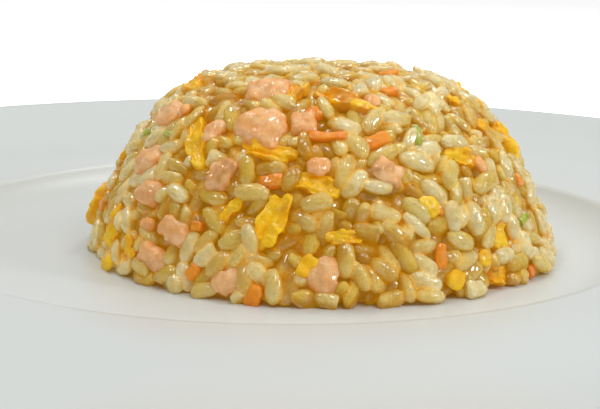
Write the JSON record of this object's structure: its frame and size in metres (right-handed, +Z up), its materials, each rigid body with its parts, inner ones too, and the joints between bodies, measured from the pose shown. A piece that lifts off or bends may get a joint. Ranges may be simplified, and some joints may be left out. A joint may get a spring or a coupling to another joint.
{
  "type": "fried rice plate",
  "caption": "Bowl-moulded dome of short-grain fried rice with salmon, scrambled egg, carrot and spring onion, in the well of a wide round porcelain dinner plate",
  "frame": {"origin": "centre of the plate, on the plane its foot ring rests on", "axes": "+Z up out of the plate, -Y to the side shown, +X to the right of that side"},
  "size_m": [0.3, 0.3, 0.0518],
  "materials": {
    "plate": "glossy white glaze",
    "rice": "moist, lightly oiled grains",
    "salmon": "cooked, flaky",
    "egg": "scrambled, moist"
  },
  "bodies": {
    "root": {"plate": "plate", "rice_heap": "rice", "salmon_01": "salmon", "salmon_02": "salmon", "salmon_03": "salmon", "salmon_04": "salmon", "salmon_05": "salmon", "salmon_06": "salmon", "salmon_07": "salmon", "salmon_08": "salmon", "salmon_09": "salmon", "salmon_10": "salmon", "salmon_11": "salmon", "salmon_12": "salmon", "salmon_13": "salmon", "salmon_14": "salmon", "salmon_15": "salmon", "salmon_16": "salmon", "salmon_17": "salmon", "salmon_18": "salmon", "salmon_19": "salmon", "salmon_20": "salmon", "egg_01": "egg", "egg_02": "egg", "egg_03": "egg", "egg_04": "egg", "egg_05": "egg", "egg_06": "egg", "egg_07": "egg", "egg_08": "egg", "egg_09": "egg", "egg_10": "egg", "egg_11": "egg", "egg_12": "egg", "egg_13": "egg", "egg_14": "egg", "egg_15": "egg", "egg_16": "egg", "egg_17": "egg", "egg_18": "egg", "egg_19": "egg", "egg_20": "egg", "egg_21": "egg", "egg_22": "egg", "egg_23": "egg", "egg_24": "egg", "egg_25": "egg"}
  },
  "joints": []
}
